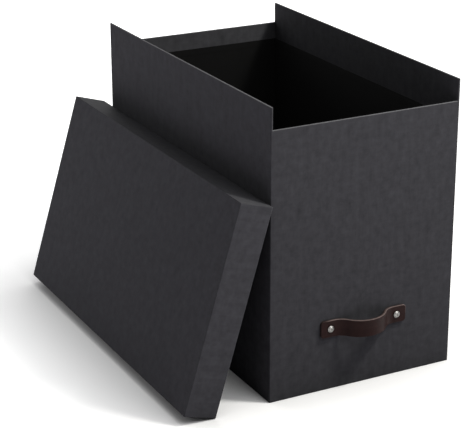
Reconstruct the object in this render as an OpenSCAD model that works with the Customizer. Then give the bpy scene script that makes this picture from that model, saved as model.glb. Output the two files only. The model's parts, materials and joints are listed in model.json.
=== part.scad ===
// Portable file box of covered board, with its loose lid leaning against the left side.
// Origin: centre of the underside of the box. X is the width, -Y the front with the handle, +Z up.
// The side walls stand taller than the front and back, so that hanging files rest on those two rims.

/* [Box] */
// Width of the box over its covering paper
box_w = 181.6; // [140:0.2:240]
// Length of the box from front to back over its covering paper
box_l = 320.2; // [260:0.2:380]
// Height of the two tall side walls
side_h = 260.6; // [200:0.2:340]
// How far the front and back rims lie below the side walls
end_drop = 19.4; // [8:0.2:40]

/* [Board and papers] */
// Thickness of the board
board_t = 1.3; // [1.2:0.1:3]
// Thickness of the covering paper with its glue
wrap_t = 0.25; // [0.15:0.05:0.5]
// Thickness of the lining paper with its glue
lining_t = 0.2; // [0.1:0.05:0.4]
// Thickness of the sheet under the base
sheet_t = 0.3; // [0.15:0.05:0.6]
// Outer radius of the covered upright corners
corner_r = 0.9; // [0.7:0.1:2.5]

/* [Covering] */
// How far the top edge of the lining lies below the front and back rims
lining_drop = 16.5; // [8:0.5:40]
// How far the lining laps over the covering paper that is turned in
lining_lap = 6; // [2:0.5:12]
// Width of the covering paper turned in under the base
under_w = 15; // [6:0.5:30]
// Margin from the edge of the base to the sheet under it
sheet_margin = 3; // [1:0.5:5]

/* [Lid] */
// Length of the lid, longer than the box because the hanging files reach past its ends
lid_l = 345; // [330:1:420]
// Height of the lid over its covering paper
lid_h = 30.3; // [20:0.1:60]
// Free space between the lid and each side wall when the box is closed
lid_fit = 0.25; // [0.1:0.05:1.5]

/* [Leaning lid] */
// Lean of the lid from upright, in degrees
lean = 16.6; // [8:0.1:35]
// How far the lid reaches past the front of the box where it leans
lid_ahead = 4.7; // [-10:0.1:15]
// Gap from the leaning lid to the wall and to the ground
lean_gap = 0.3; // [0.1:0.1:0.8]

/* [Handle strap] */
// Height of the middle of the strap above the ground
strap_z = 57.6; // [30:0.2:150]
// Width of the strap
strap_w = 15.5; // [12:0.5:30]
// Thickness of the leather
strap_t = 2.5; // [1.5:0.1:4]
// Distance between the two rivets
rivet_pitch = 66; // [60:0.2:90]
// Distance from each rivet to the end of the strap
strap_tail = 9.4; // [7:0.2:16]
// Distance from the edge of each rivet head to where the strap starts to bend off the wall
foot_land = 0.3; // [0.1:0.1:3]
// Finger space behind the middle of the strap
bow_rise = 14.2; // [8:0.2:17]
// Bend radius of the middle of the strap
crown_r = 23.5; // [14:0.5:24]
// Radius of the strap's corners
strap_corner_r = 3; // [1:0.25:5]

/* [Rivets] */
// Diameter of the rivet head
head_d = 6.2; // [5:0.1:8.2]
// Height of the whole rivet head
head_h = 1.9; // [1:0.1:3]
// Height of the straight edge of the rivet head
head_edge = 0.5; // [0.2:0.1:0.9]
// Diameter of the rivet post
post_d = 3; // [2:0.1:4]
// Free space between a rivet post and each hole it passes
post_gap = 0.1; // [0.05:0.05:0.3]
// Diameter of the cap inside the box
cap_d = 8; // [6.5:0.1:12]
// Height of the cap inside the box
cap_h = 1.2; // [0.9:0.1:2.5]
// Thickness of the cap where it closes over the end of the post
cap_floor = 0.5; // [0.3:0.1:0.6]

/* [Hidden] */
$fn = 64;

// How far a cut runs past the face it starts from; less than any board
cut = 1;

LEFT = -1;
RIGHT = 1;
FRONT = -1;
BACK = 1;

BOARD = "#8a8378";
CHARCOAL = "#3d3d41";
BLACK = "#141415";
LEATHER = "#35231f";
NICKEL = "#c9c7c2";

// Thickness of a wall covered on both faces, and of the lining over turned-in covering
covered_t = board_t + 2 * wrap_t;
lap_t = wrap_t + lining_t;

// Heights of the box, from the ground up
board_z = sheet_t + wrap_t;
floor_z = board_z + board_t;
end_h = side_h - end_drop;
lining_z = end_h - lining_drop;
turned_z = lining_z - lining_lap;

// Plan of the box over its boards, and of the hollow between them
core_w = box_w - 2 * wrap_t;
core_l = box_l - 2 * wrap_t;
core_r = corner_r - wrap_t;
hollow_w = core_w - 2 * board_t;
hollow_l = core_l - 2 * board_t;

// The lid's width follows from the box and the fit; its heights are measured from its rim
lid_w = box_w + 2 * (lid_fit + covered_t);
lid_core_w = lid_w - 2 * wrap_t;
lid_core_l = lid_l - 2 * wrap_t;
lid_hollow_w = lid_core_w - 2 * board_t;
lid_hollow_l = lid_core_l - 2 * board_t;
lid_room_w = lid_hollow_w - 2 * wrap_t;
lid_room_l = lid_hollow_l - 2 * wrap_t;
lid_ceiling = lid_h - wrap_t - board_t;

// Seen from above, the strap's bow is one crown arc between two foot arcs, each turning by bow_angle
foot_x = rivet_pitch / 2 - head_d / 2 - foot_land;
bow_angle = 2 * atan(bow_rise / foot_x);
foot_r = (pow(foot_x, 2) + pow(bow_rise, 2)) / (2 * bow_rise) - crown_r;
strap_half_l = rivet_pitch / 2 + strap_tail;
strap_mid = strap_t / 2;
// Each arc runs on by this small angle into its neighbours, so that they join; the steps left are under 0.01 mm
joint_turn = 1;

// What a rivet post passes behind the front face, and how deep its end lies
wall_depth = wrap_t + board_t + lining_t;
post_depth = wall_depth + cap_h - cap_floor;
hole_d = post_d + 2 * post_gap;

// ---- Shapes that several pieces share ----

// A rectangle centred on the origin, with round corners
module round_rect(w, l, r) {
    square([w - 2 * r, l], center = true);
    square([w, l - 2 * r], center = true);
    for (x = [-1, 1], y = [-1, 1])
        translate([x * (w / 2 - r), y * (l / 2 - r)])
            circle(r);
}

// The strip of that rectangle along one long side
module side_strip(w, l, r, t, side) {
    intersection() {
        round_rect(w, l, r);
        translate([side * (w - t) / 2, 0])
            square([t, l], center = true);
    }
}

// The plan of a front or back board, which stands between the two side boards
module end_strip(w, l, end) {
    translate([0, end * (l - board_t) / 2])
        square([w - 2 * board_t, board_t], center = true);
}

// A flat sheet or block from height z to height top, centred on the Z axis
module slab(w, l, z, top) {
    translate([0, 0, z])
        linear_extrude(top - z)
            square([w, l], center = true);
}

// Half the section of a round head that stands on the X axis: d across, h high, domed above its edge
module head_section(d, edge, h) {
    rise = h - edge;
    r = (pow(d / 2, 2) + pow(rise, 2)) / (2 * rise);
    intersection() {
        translate([0, h - r])
            circle(r, $fn = 160);
        square([d / 2, h]);
    }
}

// Places a child at both rivets: its XY plane on the front face, its Z axis pointing out of the box
module at_rivets() {
    for (x = [-1, 1])
        translate([x * rivet_pitch / 2, -box_l / 2, strap_z])
            rotate([90, 0, 0])
                children();
}

module rivet_holes() {
    at_rivets()
        translate([0, 0, -wall_depth - cut])
            cylinder(d = hole_d, h = wall_depth + strap_t + 2 * cut);
}

// ---- Boards of the box ----

module side_board(side) {
    translate([0, 0, board_z])
        linear_extrude(side_h - wrap_t - board_z)
            side_strip(core_w, core_l, core_r, board_t, side);
}

module end_board(end) {
    translate([0, 0, board_z])
        linear_extrude(end_h - wrap_t - board_z)
            end_strip(core_w, core_l, end);
}

module base_board() {
    color(BOARD)
        slab(hollow_w, hollow_l, board_z, floor_z);
}

module front_board() {
    color(BOARD)
        difference() {
            end_board(FRONT);
            rivet_holes();
        }
}

module back_board() {
    color(BOARD)
        end_board(BACK);
}

module left_board() {
    color(BOARD)
        side_board(LEFT);
}

module right_board() {
    color(BOARD)
        side_board(RIGHT);
}

// ---- Covering of the box ----

// The covered box as a full block, with its side walls standing above the front and back
module covered_block() {
    translate([0, 0, sheet_t])
        linear_extrude(end_h - sheet_t)
            round_rect(box_w, box_l, corner_r);
    for (side = [LEFT, RIGHT])
        translate([0, 0, sheet_t])
            linear_extrude(side_h - sheet_t)
                side_strip(box_w, box_l, corner_r, covered_t, side);
}

// The hollow inside the boards, narrower above turned_z where the covering is turned in
module covered_hollow(top) {
    slab(hollow_w, hollow_l, board_z, turned_z);
    slab(hollow_w - 2 * wrap_t, hollow_l - 2 * wrap_t, turned_z - cut, top);
}

module outer_wrap() {
    color(CHARCOAL)
        difference() {
            covered_block();
            side_board(LEFT);
            side_board(RIGHT);
            end_board(FRONT);
            end_board(BACK);
            covered_hollow(side_h + cut);
            slab(box_w - 2 * under_w, box_l - 2 * under_w, sheet_t - cut, board_z + cut);
            rivet_holes();
        }
}

// The sheet laps over the turned-in edges and lies on the base board between them
module base_sheet() {
    color(CHARCOAL) {
        slab(box_w - 2 * sheet_margin, box_l - 2 * sheet_margin, 0, sheet_t);
        slab(box_w - 2 * under_w, box_l - 2 * under_w, 0, board_z);
    }
}

// ---- Lining of the box ----

// The lining of a wall seen from its edge, with the board along Y; it steps over the turned-in covering
module lining_edge() {
    polygon([
        [0, floor_z],
        [lining_t, floor_z],
        [lining_t, turned_z - lining_t],
        [lap_t, turned_z - lining_t],
        [lap_t, lining_z],
        [wrap_t, lining_z],
        [wrap_t, turned_z],
        [0, turned_z]
    ]);
}

// A lining of that section standing against a board, reach long and centred on its middle
module lining_run(reach) {
    translate([0, reach / 2, 0])
        rotate([90, 0, 0])
            linear_extrude(reach)
                lining_edge();
}

// The side linings run the full length between the front and back walls
module side_lining(side) {
    intersection() {
        translate([side * hollow_w / 2, 0, 0])
            rotate([0, 0, side == LEFT ? 0 : 180])
                lining_run(hollow_l);
        covered_hollow(side_h);
    }
}

// The front and back linings fit between the side linings
module end_lining(end) {
    intersection() {
        translate([0, end * hollow_l / 2, 0])
            rotate([0, 0, end == FRONT ? 90 : -90])
                lining_run(hollow_w);
        union() {
            slab(hollow_w - 2 * lining_t, box_l, 0, turned_z - lining_t);
            slab(hollow_w - 2 * lap_t, box_l, 0, side_h);
        }
    }
}

module floor_lining() {
    color(BLACK)
        slab(hollow_w - 2 * lining_t, hollow_l - 2 * lining_t, floor_z, floor_z + lining_t);
}

module front_lining() {
    color(BLACK)
        difference() {
            end_lining(FRONT);
            rivet_holes();
        }
}

module back_lining() {
    color(BLACK)
        end_lining(BACK);
}

module left_lining() {
    color(BLACK)
        side_lining(LEFT);
}

module right_lining() {
    color(BLACK)
        side_lining(RIGHT);
}

// ---- Handle ----

// A stretch of the strap bent to radius r about the origin, seen from above
module arc_band(r, from, to) {
    reach = 2 * (r + strap_t);
    middle = (from + to) / 2;
    intersection() {
        difference() {
            circle(r + strap_mid);
            circle(r - strap_mid);
        }
        polygon([
            [0, 0],
            reach * [cos(from), sin(from)],
            reach * [cos(middle), sin(middle)],
            reach * [cos(to), sin(to)]
        ]);
    }
}

// The strap seen from above, with the wall along X and the bow towards +Y
module strap_plan() {
    translate([0, strap_mid + bow_rise - crown_r])
        arc_band(crown_r, 90 - bow_angle - joint_turn, 90 + bow_angle + joint_turn);
    for (end = [0, 1])
        mirror([end, 0])
            translate([foot_x, 0]) {
                translate([0, strap_mid + foot_r])
                    arc_band(foot_r, -90 - bow_angle - joint_turn, -90 + joint_turn);
                square([strap_half_l - foot_x, strap_t]);
            }
}

module handle_strap() {
    color(LEATHER)
        difference() {
            intersection() {
                translate([0, -box_l / 2, strap_z - strap_w / 2])
                    linear_extrude(strap_w)
                        mirror([0, 1])
                            strap_plan();
                translate([0, -box_l / 2, strap_z])
                    rotate([90, 0, 0])
                        linear_extrude(bow_rise + strap_t + cut)
                            round_rect(2 * strap_half_l, strap_w, strap_corner_r);
            }
            rivet_holes();
        }
}

// The head sits on the strap, and the post runs through the front wall into the cap
module rivets() {
    color(NICKEL)
        at_rivets()
            rotate_extrude() {
                translate([0, -post_depth])
                    square([post_d / 2, post_depth + strap_t + head_edge]);
                translate([0, strap_t])
                    head_section(head_d, head_edge, head_h);
            }
}

module rivet_caps() {
    color(NICKEL)
        at_rivets()
            translate([0, 0, -wall_depth])
                mirror([0, 0, 1])
                    rotate_extrude()
                        difference() {
                            head_section(cap_d, 0, cap_h);
                            translate([0, -cut])
                                square([hole_d / 2, cap_h - cap_floor + cut]);
                        }
}

// ---- Lid, built as it sits on the box with its rim at z = 0, then leaned ----

// Turned on its long edge, the lid's open side faces the left wall and its rim touches wall and ground
module lean_lid() {
    translate([
        -box_w / 2 - lean_gap - lid_w / 2 * sin(lean),
        lid_l / 2 - box_l / 2 - lid_ahead,
        lean_gap + lid_w / 2 * cos(lean)
    ])
        rotate([0, lean - 90, 0])
            children();
}

module lid_side_board(side) {
    translate([0, 0, wrap_t])
        linear_extrude(lid_h - 2 * wrap_t)
            side_strip(lid_core_w, lid_core_l, core_r, board_t, side);
}

module lid_end_board(end) {
    translate([0, 0, wrap_t])
        linear_extrude(lid_h - 2 * wrap_t)
            end_strip(lid_core_w, lid_core_l, end);
}

module lid_plate() {
    slab(lid_hollow_w, lid_hollow_l, lid_ceiling, lid_ceiling + board_t);
}

module lid_top_board() {
    color(BOARD)
        lean_lid()
            lid_plate();
}

module lid_front_board() {
    color(BOARD)
        lean_lid()
            lid_end_board(FRONT);
}

module lid_back_board() {
    color(BOARD)
        lean_lid()
            lid_end_board(BACK);
}

module lid_left_board() {
    color(BOARD)
        lean_lid()
            lid_side_board(LEFT);
}

module lid_right_board() {
    color(BOARD)
        lean_lid()
            lid_side_board(RIGHT);
}

// The covering runs over the rim and up the inside of the walls to the top board
module lid_wrap() {
    color(CHARCOAL)
        lean_lid()
            difference() {
                linear_extrude(lid_h)
                    round_rect(lid_w, lid_l, corner_r);
                lid_side_board(LEFT);
                lid_side_board(RIGHT);
                lid_end_board(FRONT);
                lid_end_board(BACK);
                lid_plate();
                slab(lid_room_w, lid_room_l, -cut, lid_ceiling + cut);
            }
}

module lid_lining() {
    color(BLACK)
        lean_lid()
            slab(lid_room_w, lid_room_l, lid_ceiling - lining_t, lid_ceiling);
}

base_board();
front_board();
back_board();
left_board();
right_board();
outer_wrap();
base_sheet();
floor_lining();
front_lining();
back_lining();
left_lining();
right_lining();
handle_strap();
rivets();
rivet_caps();
lid_top_board();
lid_front_board();
lid_back_board();
lid_left_board();
lid_right_board();
lid_wrap();
lid_lining();
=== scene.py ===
import json
import math

import bmesh
import bpy
from mathutils import Matrix, Vector


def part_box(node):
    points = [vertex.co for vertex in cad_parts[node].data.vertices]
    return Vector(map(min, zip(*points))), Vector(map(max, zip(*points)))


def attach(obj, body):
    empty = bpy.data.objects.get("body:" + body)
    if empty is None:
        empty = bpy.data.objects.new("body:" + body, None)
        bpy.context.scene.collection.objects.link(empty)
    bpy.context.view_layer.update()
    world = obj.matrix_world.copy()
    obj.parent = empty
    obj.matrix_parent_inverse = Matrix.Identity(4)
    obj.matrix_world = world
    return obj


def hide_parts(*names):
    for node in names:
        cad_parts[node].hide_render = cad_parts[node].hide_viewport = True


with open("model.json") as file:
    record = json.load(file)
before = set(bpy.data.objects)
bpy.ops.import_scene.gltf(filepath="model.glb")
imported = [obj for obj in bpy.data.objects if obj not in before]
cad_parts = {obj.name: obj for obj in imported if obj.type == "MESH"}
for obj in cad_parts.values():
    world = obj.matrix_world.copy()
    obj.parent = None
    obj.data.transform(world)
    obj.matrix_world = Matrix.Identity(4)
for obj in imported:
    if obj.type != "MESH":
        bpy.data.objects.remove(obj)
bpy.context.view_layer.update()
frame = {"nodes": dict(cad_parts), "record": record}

MM = 0.001

# Sizes of the part, in metres, and the lid's lean, as its source drives them
BOX_L = 320.2 * MM
END_H = 241.2 * MM
LID_H = 30.3 * MM
LEAN = math.radians(16.6)
STRAP_Z = 57.6 * MM
STRAP_W = 15.5 * MM
STRAP_T = 2.5 * MM
STRAP_CORNER_R = 3 * MM
RIVET_PITCH = 66 * MM
STRAP_TAIL = 9.4 * MM
FOOT_LAND = 0.3 * MM
BOW_RISE = 14.2 * MM
CROWN_R = 23.5 * MM
POST_D = 3 * MM
POST_DEPTH = 2.45 * MM
HOLE_D = 3.2 * MM
HEAD_D = 6.2 * MM
HEAD_H = 1.9 * MM
HEAD_EDGE = 0.5 * MM

# Outside this distance from the middle lie the tall side walls
SIDE_REACH = 88.9 * MM

# Rounding that the folded paper has over the edges of the board
FOLD_R = 0.4 * MM
FOLD_SEGMENTS = 4
FOLD_ANGLE = math.radians(50)

# Wear and a painted highlight on the folds: most rims are rubbed and drawn lit, and the right wall's, which
# lies in shade, hardly at all
RUBBED_AND_LIT, RUBBED_IN_SHADE = 1.0, 0.15

# Points this close are one point, points this close to a plane lie in it, faces that meet at less than
# this angle are one flat face, and a normal past this length along an axis is square to the other two
SAME_POINT = 0.002 * MM
IN_PLANE = 0.01 * MM
FLAT_ANGLE = math.radians(0.5)
SQUARE_ON = 0.99

# Faces of the dressed pieces that meet at more than these angles, in degrees, keep a sharp edge
COVERING_CREASE, STRAP_CREASE, RIVET_CREASE = 40, 60, 50

# The strap's rounded edge, and how far the rivet heads are pressed into the leather
EDGE_R = 0.6 * MM
PRESS_DEPTH = 0.3 * MM
PRESS_REACH = 1.7 * MM

# The painted highlight line on the strap's upper arris: its place, its width, and how it fades out to the
# left end
ARRIS_IN = 0.15 * MM
ARRIS_WIDTH = 0.22 * MM
ARRIS_FADE = 6 * MM
ARRIS_START = 0.6

# The strap's mesh: rows over half its straight length and round a corner, and columns across
STRAIGHT_ROWS, CORNER_ROWS, STRAP_COLUMNS = 70, 12, 26

# The punch for the rivet holes reaches this far into the front wall's face and out of it
PUNCH_IN, PUNCH_OUT = 1 * MM, 5 * MM

# Forms of a rivet head: its rolled edge, the shallow groove near it and the dimple in its middle
ROLLED_R = 0.25 * MM
GROOVE_AT, GROOVE_WIDTH, GROOVE_DEPTH = 2.45 * MM, 0.22 * MM, 0.1 * MM
DIMPLE_WIDTH, DIMPLE_DEPTH = 0.95 * MM, 0.28 * MM
ROLLED_STEPS, DOME_STEPS, ROUND_STEPS = 4, 24, 48

# How much painted shade the rolled edge and the groove hold, where the dimple holds 1
ROLLED_SHADE, GROOVE_SHADE = 0.4, 0.5


# ---- Small helpers ----

def link(obj):
    bpy.context.scene.collection.objects.link(obj)
    return obj


def limited(value):
    return min(1.0, max(0.0, value))


def bell(away, width):
    return math.exp(-(away / width) ** 2)


def grey(value, tint=(1.0, 1.0, 1.0)):
    return (value * tint[0], value * tint[1], value * tint[2], 1.0)


def mesh_of(bm, name, material):
    """The finished bmesh as a smooth shaded mesh of one material."""
    for face in bm.faces:
        face.smooth = True
    mesh = bpy.data.meshes.new(name)
    bm.to_mesh(mesh)
    bm.free()
    mesh.materials.append(material)
    return mesh


class Tree:
    """The node tree of a material or the world, built with short calls."""

    def __init__(self, owner, output="OutputMaterial"):
        self.owner = owner
        owner.use_nodes = True
        self.nodes, self.links = owner.node_tree.nodes, owner.node_tree.links
        self.nodes.clear()
        self.output = self.nodes.new("ShaderNode" + output)

    def add(self, kind, inputs=None, **settings):
        node = self.nodes.new("ShaderNode" + kind)
        for key, value in settings.items():
            setattr(node, key, value)
        for key, value in (inputs or {}).items():
            self.put(node.inputs[key], value)
        return node

    def put(self, socket, value):
        if isinstance(value, bpy.types.NodeSocket):
            self.links.new(value, socket)
        else:
            socket.default_value = value

    def joined(self, kind, *sources, **settings):
        """The output of a node that takes its sources in order."""
        node = self.add(kind, **settings)
        for socket, value in zip(node.inputs, sources):
            self.put(socket, value)
        return node.outputs[0]

    def maths(self, operation, a, b=0.0, c=0.0):
        return self.joined("Math", a, b, c, operation=operation)

    def plus(self, base, value, weight):
        """base + value x weight"""
        return self.maths("MULTIPLY_ADD", value, weight, base)

    def vector(self, operation, a, b=None, scale=None):
        node = self.add("VectorMath", operation=operation)
        self.put(node.inputs[0], a)
        if b is not None:
            self.put(node.inputs[1], b)
        if scale is not None:
            self.put(node.inputs["Scale"], scale)
        return node.outputs["Value" if operation in ("DOT_PRODUCT", "LENGTH") else "Vector"]

    def attribute(self, name):
        return self.add("Attribute", attribute_name=name).outputs["Fac"]

    def seen(self):
        """1 on rays from the camera, gloss and glass, and 0 on rays that gather light."""
        path = self.add("LightPath").outputs
        return self.maths("MAXIMUM", path["Is Camera Ray"], self.maths(
            "MAXIMUM", path["Is Glossy Ray"], path["Is Transmission Ray"]))

    def noise(self, where, scale=1.0, detail=2.0, rough=0.5):
        node = self.add("TexNoise", {"Vector": where, "Scale": scale, "Detail": detail, "Roughness": rough})
        return node.outputs["Fac"]

    def stretched(self, where, stretch):
        return self.vector("MULTIPLY", where, stretch)

    def between(self, value, low, high, to_low=0.0, to_high=1.0):
        """Maps low to high onto to_low to to_high, and stops at both."""
        node = self.add("MapRange", {
            "Value": value, "From Min": low, "From Max": high, "To Min": to_low, "To Max": to_high})
        return node.outputs["Result"]

    def blend(self, factor, a, b):
        node = self.add("Mix", data_type="RGBA")
        self.put(node.inputs["Factor"], factor)
        self.put(node.inputs[6], a)
        self.put(node.inputs[7], b)
        return node.outputs[2]

    def bump(self, height, distance, strength=1.0, normal=None):
        node = self.add("Bump", {"Height": height, "Distance": distance, "Strength": strength})
        if normal is not None:
            self.put(node.inputs["Normal"], normal)
        return node.outputs["Normal"]

    def shown(self, shader):
        """Ends the tree with a shader, and gives back its material or world."""
        self.links.new(shader, self.output.inputs["Surface"])
        return self.owner

    def surface(self, **inputs):
        shader = self.add("BsdfPrincipled", {key.replace("_", " "): value for key, value in inputs.items()})
        return self.shown(shader.outputs[0])


# ---- Materials: colours are linear, and scales count per metre ----

# Painted light: how much lighter the sheet on the lid is drawn than the same paper on the box
LID_PAINTED_LIGHT = 0.16

# The covering's woven threads: their pitch, and how far they wander as a share of it
THREAD_PITCH = 0.55 * MM
THREAD_WANDER = 0.35


def woven_paper(name, dark, light, worn_and_lit, rough):
    """Paper with an embossed linen weave: threads across each face, slubs, mottling, and scuffed folds with a
    painted highlight on them.
    """
    t = Tree(bpy.data.materials.new(name))
    coord = t.add("TexCoord")
    at = coord.outputs["Object"]
    facing = t.vector("ABSOLUTE", coord.outputs["Normal"])
    in_face = t.vector("SUBTRACT", (1.0, 1.0, 1.0), facing)

    # Threads: on a face square to one axis, the two other axes cross
    wander = t.add("TexNoise", {"Vector": at, "Scale": 260.0, "Detail": 1.0}).outputs["Color"]
    threads = t.vector("ADD", at, t.vector("SCALE", wander, scale=THREAD_WANDER * THREAD_PITCH))
    waves = t.vector("SINE", t.vector("SCALE", threads, scale=2 * math.pi / THREAD_PITCH))
    x, y, z = t.add("SeparateXYZ", {"Vector": waves}).outputs
    crossings = t.add("CombineXYZ", {
        "X": t.maths("MULTIPLY", y, z), "Y": t.maths("MULTIPLY", x, z), "Z": t.maths("MULTIPLY", x, y)})
    weave = t.vector("DOT_PRODUCT", crossings.outputs[0], facing)

    # Slubs: streaks from thread to thread, along each axis that lies in the face
    fine, coarse = 700.0, 34.0
    streaks = t.add("CombineXYZ", {
        "X": t.noise(t.stretched(at, (coarse, fine, fine)), detail=3.0),
        "Y": t.noise(t.stretched(at, (fine, coarse, fine)), detail=3.0),
        "Z": t.noise(t.stretched(at, (fine, fine, coarse)), detail=3.0)})
    slub = t.vector("DOT_PRODUCT", streaks.outputs[0], in_face)

    # Mottling: broad upright smears, and blotches a few millimetres across
    smear = t.noise(t.stretched(at, (150.0, 150.0, 40.0)), detail=3.0, rough=0.6)
    blotch = t.noise(at, scale=150.0, detail=3.0, rough=0.6)
    tone = t.plus(t.plus(t.maths("MULTIPLY", blotch, 1.05), smear, 0.6), slub, 0.2)
    tone = t.between(tone, 0.55, 1.85)
    colour = t.blend(tone, dark, light)
    # The lid's sheet is drawn lighter: painted light
    colour = t.vector("SCALE", colour, scale=t.plus(1.0, t.attribute("painted_light"), LID_PAINTED_LIGHT))

    # Scuffs, with a painted highlight on them, where the paper folds over an edge
    patchy = t.between(t.noise(at, scale=240.0, detail=4.0, rough=0.7), 0.2, 0.6, 0.45, 1.0)
    scuffed_and_lit = t.maths("MULTIPLY", t.attribute("rim_wear_and_highlight"), patchy)
    # The folds are drawn lighter: real scuffing and a painted highlight together
    colour = t.blend(scuffed_and_lit, colour, worn_and_lit)

    roughness = t.plus(t.plus(rough, scuffed_and_lit, 0.12), tone, 0.10)
    height = t.plus(t.maths("MULTIPLY", slub, 0.3), weave, 0.5)
    normal = t.bump(height, distance=0.04 * MM, strength=0.4)
    return t.surface(Base_Color=colour, Roughness=roughness, Normal=normal, Specular_IOR_Level=0.08)


def plain_paper(name, dark, light, rough):
    """Smooth uncoated paper with fibres, faint clouding and a slight cockle from the glue."""
    t = Tree(bpy.data.materials.new(name))
    at = t.add("TexCoord").outputs["Object"]
    fibres = t.noise(t.stretched(at, (420.0, 420.0, 147.0)), detail=4.0, rough=0.65)
    cloud = t.noise(at, scale=28.0, detail=3.0, rough=0.55)
    tone = t.between(t.plus(cloud, fibres, 0.6), 0.55, 1.05)
    colour = t.blend(tone, dark, light)
    roughness = t.plus(rough, cloud, 0.16)
    normal = t.bump(fibres, distance=0.05 * MM, strength=0.35)
    normal = t.bump(cloud, distance=0.8 * MM, strength=0.3, normal=normal)
    return t.surface(Base_Color=colour, Roughness=roughness, Normal=normal, Specular_IOR_Level=0.1)


def grey_board(name):
    """Recycled grey board: pressed fibres and dark specks."""
    speck_colour = (0.1, 0.09, 0.08, 1.0)
    dark, light = (0.17, 0.155, 0.13, 1.0), (0.33, 0.305, 0.26, 1.0)
    t = Tree(bpy.data.materials.new(name))
    at = t.add("TexCoord").outputs["Object"]
    fibres = t.noise(at, scale=900.0, detail=5.0, rough=0.7)
    specks = t.between(t.add("TexVoronoi", {"Vector": at, "Scale": 480.0}).outputs["Distance"], 0.12, 0.2)
    colour = t.blend(specks, speck_colour, t.blend(fibres, dark, light))
    roughness = t.plus(0.85, fibres, 0.1)
    normal = t.bump(fibres, distance=0.1 * MM, strength=0.4)
    return t.surface(Base_Color=colour, Roughness=roughness, Normal=normal)


def strap_leather(name):
    """Dark brown leather: fine grain, clouding, raw cut edges, a painted highlight along the upper arris and
    a rough flesh side.
    """
    grain_dark, grain_light = (0.0085, 0.0026, 0.0022, 1.0), (0.0165, 0.0054, 0.0047, 1.0)
    flesh_dark, flesh_light = (0.022, 0.013, 0.011, 1.0), (0.05, 0.031, 0.027, 1.0)
    cut_dark, cut_light = (0.014, 0.008, 0.0075, 1.0), (0.034, 0.022, 0.020, 1.0)
    arris_highlight_colour = (0.20, 0.155, 0.145, 1.0)
    t = Tree(bpy.data.materials.new(name))
    at = t.add("TexCoord").outputs["Object"]
    cells = t.add("TexVoronoi", {"Vector": at, "Scale": 1500.0, "Randomness": 1.0}, feature="F1")
    pores = t.between(cells.outputs["Distance"], 0.05, 0.75)
    grain = t.noise(at, scale=900.0, detail=4.0, rough=0.6)
    cloud = t.noise(at, scale=120.0, detail=3.0, rough=0.6)
    pull = t.noise(t.stretched(at, (60.0, 60.0, 700.0)), detail=2.0)
    tone = t.between(t.plus(cloud, pull, 0.35), 0.42, 0.9)
    colour = t.blend(tone, grain_dark, grain_light)
    flesh = t.attribute("flesh")
    colour = t.blend(flesh, colour, t.blend(grain, flesh_dark, flesh_light))
    edge = t.attribute("cut_edge")
    colour = t.blend(t.between(edge, 0.15, 0.75), colour, t.blend(grain, cut_dark, cut_light))
    uneven = t.between(t.noise(at, scale=300.0, detail=3.0), 0.3, 0.7, 0.6, 1.0)
    # A painted highlight along the upper arris, broken up unevenly
    colour = t.blend(t.maths("MULTIPLY", t.attribute("arris"), uneven), colour, arris_highlight_colour)
    roughness = t.plus(t.plus(t.plus(0.40, grain, 0.16), edge, 0.15), flesh, 0.3)
    normal = t.bump(t.plus(grain, pores, 0.6), distance=0.07 * MM, strength=0.4)
    return t.surface(Base_Color=colour, Roughness=roughness, Normal=normal, Specular_IOR_Level=0.08)


def nickel(name):
    """Worn nickel plate with fine polishing marks, and painted shade where the form dips."""
    dark, light = (0.19, 0.185, 0.177, 1.0), (0.31, 0.303, 0.292, 1.0)
    recess_shade = (0.06, 0.056, 0.052, 1.0)
    t = Tree(bpy.data.materials.new(name))
    at = t.add("TexCoord").outputs["Object"]
    dull = t.noise(at, scale=900.0, detail=3.0, rough=0.6)
    marks = t.noise(t.stretched(at, (300.0, 300.0, 5000.0)), detail=2.0)
    recess = t.attribute("recess")
    # Painted shade darkens the dimple, the groove and the rolled edge
    colour = t.blend(recess, t.blend(t.between(dull, 0.3, 0.7), dark, light), recess_shade)
    roughness = t.plus(t.plus(t.plus(0.22, marks, 0.08), dull, 0.16), recess, 0.2)
    normal = t.bump(marks, distance=0.01 * MM, strength=0.2)
    return t.surface(Base_Color=colour, Metallic=1.0, Roughness=roughness, Normal=normal)


# The worn colour is both scuffed paper and a painted highlight on the rims
BLUISH, WORN_AND_LIT_BLUISH = (1.0, 1.0, 1.09), (1.0, 1.0, 1.05)
COVERING = woven_paper(
    "covering_paper", dark=grey(0.0265, BLUISH), light=grey(0.0695, BLUISH), worn_and_lit=grey(0.12, WORN_AND_LIT_BLUISH),
    rough=0.75)
BASE_PAPER = plain_paper("base_paper", dark=grey(0.018), light=grey(0.032), rough=0.7)
LINING = plain_paper("lining_paper", dark=grey(0.0022), light=grey(0.0042), rough=0.75)
BOARD = grey_board("board")
LEATHER = strap_leather("strap_leather")
NICKEL = nickel("rivet_metal")

SLOT_MATERIALS = {
    "board": BOARD,
    "covering_paper": COVERING,
    "base_paper": BASE_PAPER,
    "lining_paper": LINING,
    "strap_leather": LEATHER,
    "rivet_metal": NICKEL,
}
for subpart in frame["record"]["subparts"]:
    for holder in frame["nodes"][subpart["node"]].material_slots:
        holder.material = SLOT_MATERIALS[subpart["material_slot"]]


# ---- Coverings: the CAD shapes with the paper's folds rounded ----

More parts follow.
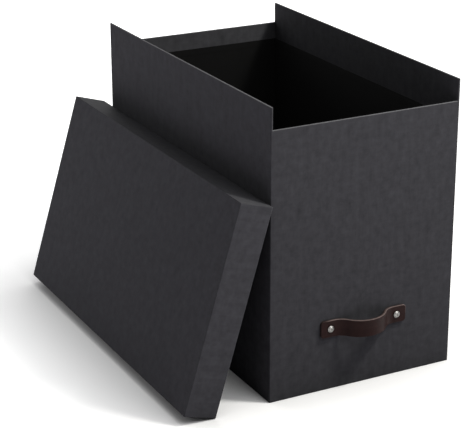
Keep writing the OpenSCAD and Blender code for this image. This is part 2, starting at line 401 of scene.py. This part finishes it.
def covering(name, node, to_local, folded, wear_and_highlight, painted_light, material):
    """A copy of a CAD covering, in its own axes, rounded along the edges that folded() picks.

    wear() says how rubbed each of its faces is and how much painted highlight it carries, and paler says how
    much painted light lightens its sheet.
    """
    source = frame["nodes"][node].data
    bm = bmesh.new()
    bm.from_mesh(source)
    bm.transform(to_local)
    bmesh.ops.remove_doubles(bm, verts=bm.verts, dist=SAME_POINT)
    bmesh.ops.dissolve_limit(
        bm, angle_limit=FLAT_ANGLE, verts=bm.verts, edges=bm.edges, use_dissolve_boundaries=False)
    edges = [e for e in bm.edges if len(e.link_faces) == 2 and e.calc_face_angle_signed() > FOLD_ANGLE
             and folded(*(v.co for v in e.verts))]
    made = bmesh.ops.bevel(
        bm, geom=edges, offset=FOLD_R, offset_type="OFFSET", segments=FOLD_SEGMENTS, profile=0.5,
        affect="EDGES", clamp_overlap=False)
    rounded = set(made["faces"])
    rim_wear_and_highlight = bm.loops.layers.float.new("rim_wear_and_highlight")
    shade = bm.loops.layers.float.new("painted_light")
    for face in bm.faces:
        amount = wear_and_highlight(face, face in rounded)
        for corner in face.loops:
            corner[rim_wear_and_highlight] = amount
            corner[shade] = painted_light
    obj = link(bpy.data.objects.new(name, mesh_of(bm, name, material)))
    obj.matrix_world = to_local.inverted()
    return obj


def sharpen(obj, degrees):
    """Keeps flat faces flat in a smooth shaded mesh."""
    obj.data.set_sharp_from_angle(angle=math.radians(degrees))
    weigh = obj.modifiers.new("flat faces lead", "WEIGHTED_NORMAL")
    weigh.keep_sharp = True


def box_fold(a, b):
    """The rims of the box, at both heights, and the upright ends of the side walls above the lower rims."""
    return min(a.z, b.z) > END_H - IN_PLANE


def box_wear_and_highlight(face, rounded):
    """The rims are rubbed and carry a painted highlight, the right wall's, which lies in shade, less than the
    others.
    """
    centre = face.calc_center_median()
    if centre.z > END_H - FOLD_R and (rounded or face.normal.z > SQUARE_ON):
        return RUBBED_IN_SHADE if centre.x > SIDE_REACH else RUBBED_AND_LIT
    return 0.0


box_wrap = covering("box_covering", "outer_wrap", Matrix.Identity(4), box_fold, box_wear_and_highlight, 0.0, COVERING)
sharpen(box_wrap, COVERING_CREASE)
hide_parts("outer_wrap")
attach(box_wrap, "box")


# The lid's own axes: its rim at z = 0, its closed face at z = LID_H, its upper edge towards +x
lid_lo, lid_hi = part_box("lid_wrap")
lean_turn = Matrix.Rotation(LEAN - math.pi / 2, 4, "Y")
lid_w = (lid_hi.z - lid_lo.z - LID_H * math.sin(LEAN)) / math.cos(LEAN)
lid_place = Matrix.Translation((
    lid_hi.x - lid_w / 2 * math.sin(LEAN),
    (lid_lo.y + lid_hi.y) / 2,
    lid_lo.z + lid_w / 2 * math.cos(LEAN))) @ lean_turn


def lid_fold(a, b):
    """The lid's rim, outside and inside, and the edge round its closed face."""
    return max(a.z, b.z) < IN_PLANE or min(a.z, b.z) > LID_H - IN_PLANE


def lid_wear_and_highlight(face, rounded):
    """The lid's rim is rubbed and carries a painted highlight."""
    if face.calc_center_median().z < FOLD_R and (rounded or face.normal.z < -SQUARE_ON):
        return RUBBED_AND_LIT
    return 0.0


lid_wrap = covering("lid_covering", "lid_wrap", lid_place.inverted(), lid_fold, lid_wear_and_highlight, 1.0, COVERING)
sharpen(lid_wrap, COVERING_CREASE)
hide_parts("lid_wrap")
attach(lid_wrap, "lid")


# ---- Handle strap: bent leather with rounded edges, pressed in round the rivets ----

foot_x = RIVET_PITCH / 2 - HEAD_D / 2 - FOOT_LAND
bow_angle = 2 * math.atan(BOW_RISE / foot_x)
foot_r = (foot_x ** 2 + BOW_RISE ** 2) / (2 * BOW_RISE) - CROWN_R
crown_reach = CROWN_R * bow_angle
foot_reach = foot_r * bow_angle
strap_reach = crown_reach + foot_reach + RIVET_PITCH / 2 + STRAP_TAIL - foot_x


def strap_at(along):
    """The strap's middle surface, this far along it from its middle: x, distance off the wall, turn."""
    side, s = math.copysign(1, along), abs(along)
    if s < crown_reach:
        turn = s / CROWN_R
        x, off = CROWN_R * math.sin(turn), BOW_RISE - CROWN_R * (1 - math.cos(turn))
    elif s < crown_reach + foot_reach:
        turn = bow_angle - (s - crown_reach) / foot_r
        x, off = foot_x - foot_r * math.sin(turn), foot_r * (1 - math.cos(turn))
    else:
        turn, x, off = 0.0, foot_x + s - crown_reach - foot_reach, 0.0
    return side * x, STRAP_T / 2 + off, side * turn


def strap_inset(along, across):
    """How far a point of the strap lies inside its outline, whose corners are round."""
    s = abs(along) - (strap_reach - STRAP_CORNER_R)
    z = abs(across) - (STRAP_W / 2 - STRAP_CORNER_R)
    if s > 0 and z > 0:
        return max(0.0, STRAP_CORNER_R - math.hypot(s, z))
    return STRAP_CORNER_R - max(s, z)


def half_width(along):
    """Half the strap's width here, which narrows round its corners."""
    s = abs(along) - (strap_reach - STRAP_CORNER_R)
    if s <= 0:
        return STRAP_W / 2
    return STRAP_W / 2 - STRAP_CORNER_R + math.sqrt(max(0.0, STRAP_CORNER_R ** 2 - s ** 2))


def pressed(along, across):
    """How deep the leather is pressed in round a rivet head."""
    out = math.hypot(abs(along) - (strap_reach - STRAP_TAIL), across) - HEAD_D / 2
    return PRESS_DEPTH * (0.5 + 0.5 * math.cos(math.pi * limited(out / PRESS_REACH)))


def painted_arris_highlight(along, across, inset):
    """How much painted highlight the front skin has: a fine line along its upper edge, which fades out to its
    left end.
    """
    if across <= 0:
        return 0.0
    return limited((along + strap_reach) / ARRIS_FADE - ARRIS_START) * bell(inset - ARRIS_IN, ARRIS_WIDTH)


def strap_rows():
    """Where the strap's rows lie along it: even, and closer together round the corners."""
    straight = strap_reach - STRAP_CORNER_R
    half = [straight * i / STRAIGHT_ROWS for i in range(STRAIGHT_ROWS)]
    for i in range(CORNER_ROWS + 1):
        half.append(straight + STRAP_CORNER_R * math.sin(math.pi / 2 * i / CORNER_ROWS))
    return [-s for s in reversed(half[1:])] + half


def strap_mesh():
    """The strap's front skin (1) and back skin (-1), row by row, and the edges that join them."""
    bm = bmesh.new()
    cut_edge = bm.verts.layers.float.new("cut_edge")
    arris = bm.verts.layers.float.new("arris")
    flesh = bm.verts.layers.float.new("flesh")
    skins = {1: [], -1: []}
    for along in strap_rows():
        x, off, turn = strap_at(along)
        row = {1: [], -1: []}
        for j in range(STRAP_COLUMNS + 1):
            across = -half_width(along) * math.cos(math.pi * j / STRAP_COLUMNS)
            inset = min(strap_inset(along, across), EDGE_R)
            half_t = STRAP_T / 2 - EDGE_R + math.sqrt(max(0.0, EDGE_R ** 2 - (EDGE_R - inset) ** 2))
            for skin in (1, -1):
                out = half_t - pressed(along, across) if skin == 1 else -half_t
                vert = bm.verts.new((
                    x + out * math.sin(turn), -BOX_L / 2 - off - out * math.cos(turn), STRAP_Z + across))
                vert[cut_edge] = 1 - inset / EDGE_R
                vert[flesh] = 1.0 if skin == -1 else 0.0
                vert[arris] = painted_arris_highlight(along, across, inset) if skin == 1 else 0.0
                row[skin].append(vert)
        for skin in (1, -1):
            skins[skin].append(row[skin])
    for skin in skins.values():
        for low, high in zip(skin, skin[1:]):
            for j in range(STRAP_COLUMNS):
                bm.faces.new((low[j], low[j + 1], high[j + 1], high[j]))
    front, back = skins[1], skins[-1]
    long_edges = [([row[j] for row in front], [row[j] for row in back]) for j in (0, -1)]
    ends = [(front[i], back[i]) for i in (0, -1)]
    for top, under in long_edges + ends:
        for i in range(len(top) - 1):
            bm.faces.new((top[i], top[i + 1], under[i + 1], under[i]))
    bmesh.ops.recalc_face_normals(bm, faces=bm.faces)
    return mesh_of(bm, "strap", LEATHER)


def lathe(name, profile, places, material):
    """Closed pieces of revolution, one at each (x, z) place, whose axes point out of the front.

    The profile's rows are (radius, distance out of the front, how much painted shade it holds).
    """
    bm = bmesh.new()
    recess = bm.verts.layers.float.new("recess")
    for x, z in places:
        rings = []
        for radius, out, recess_shade in profile:
            ring = []
            for i in range(ROUND_STEPS if radius > 0 else 1):
                a = 2 * math.pi * i / ROUND_STEPS
                vert = bm.verts.new((x + radius * math.cos(a), -BOX_L / 2 - out, z + radius * math.sin(a)))
                vert[recess] = recess_shade
                ring.append(vert)
            rings.append(ring)
        for low, high in zip(rings, rings[1:]):
            for i in range(ROUND_STEPS):
                j = (i + 1) % ROUND_STEPS
                corners = [low[i % len(low)], low[j % len(low)], high[j % len(high)], high[i % len(high)]]
                bm.faces.new(list(dict.fromkeys(corners)))
    bmesh.ops.recalc_face_normals(bm, faces=bm.faces)
    return link(bpy.data.objects.new(name, mesh_of(bm, name, material)))


rivet_places = [(side * RIVET_PITCH / 2, STRAP_Z) for side in (-1, 1)]

strap = link(bpy.data.objects.new("strap", strap_mesh()))
punch_profile = [(0, -PUNCH_IN, 0), (HOLE_D / 2, -PUNCH_IN, 0), (HOLE_D / 2, PUNCH_OUT, 0), (0, PUNCH_OUT, 0)]
punch = lathe("punch", punch_profile, rivet_places, LEATHER)
punching = strap.modifiers.new("rivet holes", "BOOLEAN")
punching.object = punch
punching.solver = "EXACT"
bpy.context.view_layer.update()
whole = strap.data
strap.data = bpy.data.meshes.new_from_object(strap.evaluated_get(bpy.context.evaluated_depsgraph_get()))
strap.data.name = "strap"
strap.modifiers.clear()
bpy.data.objects.remove(punch)
bpy.data.meshes.remove(whole)
sharpen(strap, STRAP_CREASE)
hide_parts("handle_strap")
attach(strap, "box")


def head_profile():
    """A rivet from the end of its post to the middle of its domed head, for lathe()."""
    seat = STRAP_T - PRESS_DEPTH
    rise = HEAD_H - HEAD_EDGE
    dome_r = ((HEAD_D / 2) ** 2 + rise ** 2) / (2 * rise)
    points = [(0, -POST_DEPTH, 0), (POST_D / 2, -POST_DEPTH, 0), (POST_D / 2, seat, 0)]
    for i in range(ROLLED_STEPS + 1):
        a = math.pi / 2 * i / ROLLED_STEPS
        points.append((
            HEAD_D / 2 - ROLLED_R + ROLLED_R * math.sin(a),
            seat + ROLLED_R - ROLLED_R * math.cos(a),
            ROLLED_SHADE * math.cos(a)))
    for i in range(DOME_STEPS + 1):
        radius = HEAD_D / 2 * (1 - i / DOME_STEPS)
        out = STRAP_T + HEAD_H - dome_r + math.sqrt(dome_r ** 2 - radius ** 2)
        groove = bell(radius - GROOVE_AT, GROOVE_WIDTH)
        dimple = bell(radius, DIMPLE_WIDTH)
        points.append((
            radius,
            out - GROOVE_DEPTH * groove - DIMPLE_DEPTH * dimple,
            min(1.0, GROOVE_SHADE * groove + dimple)))
    return points


rivets = lathe("rivet_pair", head_profile(), rivet_places, NICKEL)
sharpen(rivets, RIVET_CREASE)
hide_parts("rivets")
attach(rivets, "box")


# ---- Camera: fitted to the edges of box and lid in the photograph ----

CAMERA_AT = Vector((-682.54, -1233.95, 626.40)) * MM
AZIMUTH, ELEVATION, ROLL = 0.4779, 0.3557, -0.0031
LENS, SENSOR_WIDTH = 125.56, 36.0
CLIP_START, CLIP_END = 0.05, 50.0

level = math.cos(ELEVATION)
ahead = Vector((math.sin(AZIMUTH) * level, math.cos(AZIMUTH) * level, -math.sin(ELEVATION)))
right = Vector((math.cos(AZIMUTH), -math.sin(AZIMUTH), 0.0))
up = right.cross(ahead)
right, up = (
    right * math.cos(ROLL) + up * math.sin(ROLL),
    up * math.cos(ROLL) - right * math.sin(ROLL),
)
lens = bpy.data.cameras.new("camera")
lens.lens = LENS
lens.sensor_width = SENSOR_WIDTH
lens.sensor_fit = "HORIZONTAL"
lens.clip_start = CLIP_START
lens.clip_end = CLIP_END
camera = link(bpy.data.objects.new("camera", lens))
camera.matrix_world = Matrix((
    (right.x, up.x, -ahead.x, CAMERA_AT.x),
    (right.y, up.y, -ahead.y, CAMERA_AT.y),
    (right.z, up.z, -ahead.z, CAMERA_AT.z),
    (0, 0, 0, 1)))
bpy.context.scene.camera = camera


# ---- Studio: pale floor, white backdrop and soft lights ----

WHITE = grey(1.0)
AMBIENT = 0.02

# The floor as the camera, gloss and glass see it: its colour with faint specks, and its glow, which rises
# from GLOW_RISES to GLOW_FULL from the origin and fades, as a painted shadow, where something is within
# SHADE_REACH
FLOOR_HALF = 6.0
FLOOR_COLOUR, FLOOR_SPECKS = 0.85, 0.01
FLOOR_GLOW, FLOOR_GLOW_FAR = 0.82, 1.0
GLOW_RISES, GLOW_FULL = 0.45, 1.1
SHADE_REACH, SHADE_POWER = 0.12, 2.7

# The floor as it lights the object: a dull colour, and a glow that is stronger where the floor is open
# around, and gone where it is crowded
FLOOR_BOUNCE = 0.12
BOUNCE_GLOW, BOUNCE_GLOW_OPEN = 0.30, 0.42
BOUNCE_TINT = (1.02, 0.955, 1.09, 1.0)
OPEN_REACH, OPEN_POWER = 0.35, 3.0
CROWDED, CLEAR = 0.45, 0.8


def studio_floor():
    """Pale floor that keeps the shadows, with a painted shadow in its glow, darkest where the object is
    close.
    """
    t = Tree(bpy.data.materials.new("studio_floor"))
    at = t.add("TexCoord").outputs["Object"]
    seen = t.seen()
    specks = t.noise(at, scale=60.0, detail=4.0, rough=0.6)
    colour = t.blend(specks, grey(FLOOR_COLOUR - FLOOR_SPECKS), grey(FLOOR_COLOUR + FLOOR_SPECKS))
    colour = t.blend(seen, grey(FLOOR_BOUNCE), colour)
    near = t.add("AmbientOcclusion", {"Distance": SHADE_REACH}, samples=8).outputs["AO"]
    shown = t.between(t.vector("LENGTH", at), GLOW_RISES, GLOW_FULL, FLOOR_GLOW, FLOOR_GLOW_FAR)
    # The glow dims where things are close: a painted shadow
    shown = t.maths("MULTIPLY", shown, t.maths("POWER", near, SHADE_POWER))
    wide = t.add("AmbientOcclusion", {"Distance": OPEN_REACH}, samples=4).outputs["AO"]
    bounced = t.plus(BOUNCE_GLOW, t.maths("POWER", wide, OPEN_POWER), BOUNCE_GLOW_OPEN)
    bounced = t.maths("MULTIPLY", bounced, t.between(near, CROWDED, CLEAR))
    glow = t.plus(bounced, seen, t.maths("SUBTRACT", shown, bounced))
    diffuse = t.add("BsdfDiffuse", {"Color": colour})
    emission = t.add("Emission", {"Color": t.blend(seen, BOUNCE_TINT, WHITE), "Strength": glow})
    return t.shown(t.joined("AddShader", diffuse.outputs[0], emission.outputs[0]))


def studio_world():
    """White behind everything for the camera, gloss and glass, and a faint even light on the object."""
    t = Tree(bpy.data.worlds.new("studio"), "OutputWorld")
    ambient = t.add("Background", {"Color": WHITE, "Strength": AMBIENT})
    backdrop = t.add("Background", {"Color": WHITE, "Strength": 1.0})
    return t.shown(t.joined("MixShader", t.seen(), ambient.outputs[0], backdrop.outputs[0]))


def softbox(name, at, aim, size, power, colour=(1.0, 1.0, 1.0)):
    """A rectangular light of this width and height in metres and power in watts, aimed at a point."""
    light = bpy.data.lights.new(name, "AREA")
    light.shape = "RECTANGLE"
    light.size, light.size_y = size
    light.energy = power
    light.color = colour
    obj = link(bpy.data.objects.new(name, light))
    obj.location = at
    obj.rotation_euler = (Vector(aim) - Vector(at)).to_track_quat("-Z", "Y").to_euler()


bm = bmesh.new()
bmesh.ops.create_grid(bm, x_segments=8, y_segments=8, size=FLOOR_HALF)
floor = link(bpy.data.objects.new("floor", mesh_of(bm, "floor", studio_floor())))
bpy.context.scene.world = studio_world()

# The key light stands this far off, on this side of the middle of box and lid
MIDDLE = Vector((-0.03, 0.0, 0.1))
KEY_WAY = Vector((0.51, -0.55, 1.0)).normalized()
KEY_AWAY = 1.2
KEY_COLOUR = (1.0, 0.985, 0.94)

softbox("key", at=MIDDLE + KEY_AWAY * KEY_WAY, aim=MIDDLE, size=(0.16, 0.16), power=10.0, colour=KEY_COLOUR)
softbox("front_top", at=(0.2, -0.75, 0.75), aim=(0.0, -0.15, 0.15), size=(0.6, 0.4), power=3.1)
softbox("overhead", at=(0.0, 0.0, 1.0), aim=(0.0, 0.0, 0.2), size=(0.9, 0.9), power=1.0)
softbox("left_back", at=(-0.7, 0.5, 0.4), aim=(-0.12, 0.05, 0.14), size=(0.5, 0.3), power=1.1)
softbox("back", at=(0.3, 1.3, 0.55), aim=(0.0, 0.16, 0.13), size=(0.8, 0.5), power=4.0)

bpy.context.scene.view_settings.view_transform = "Standard"
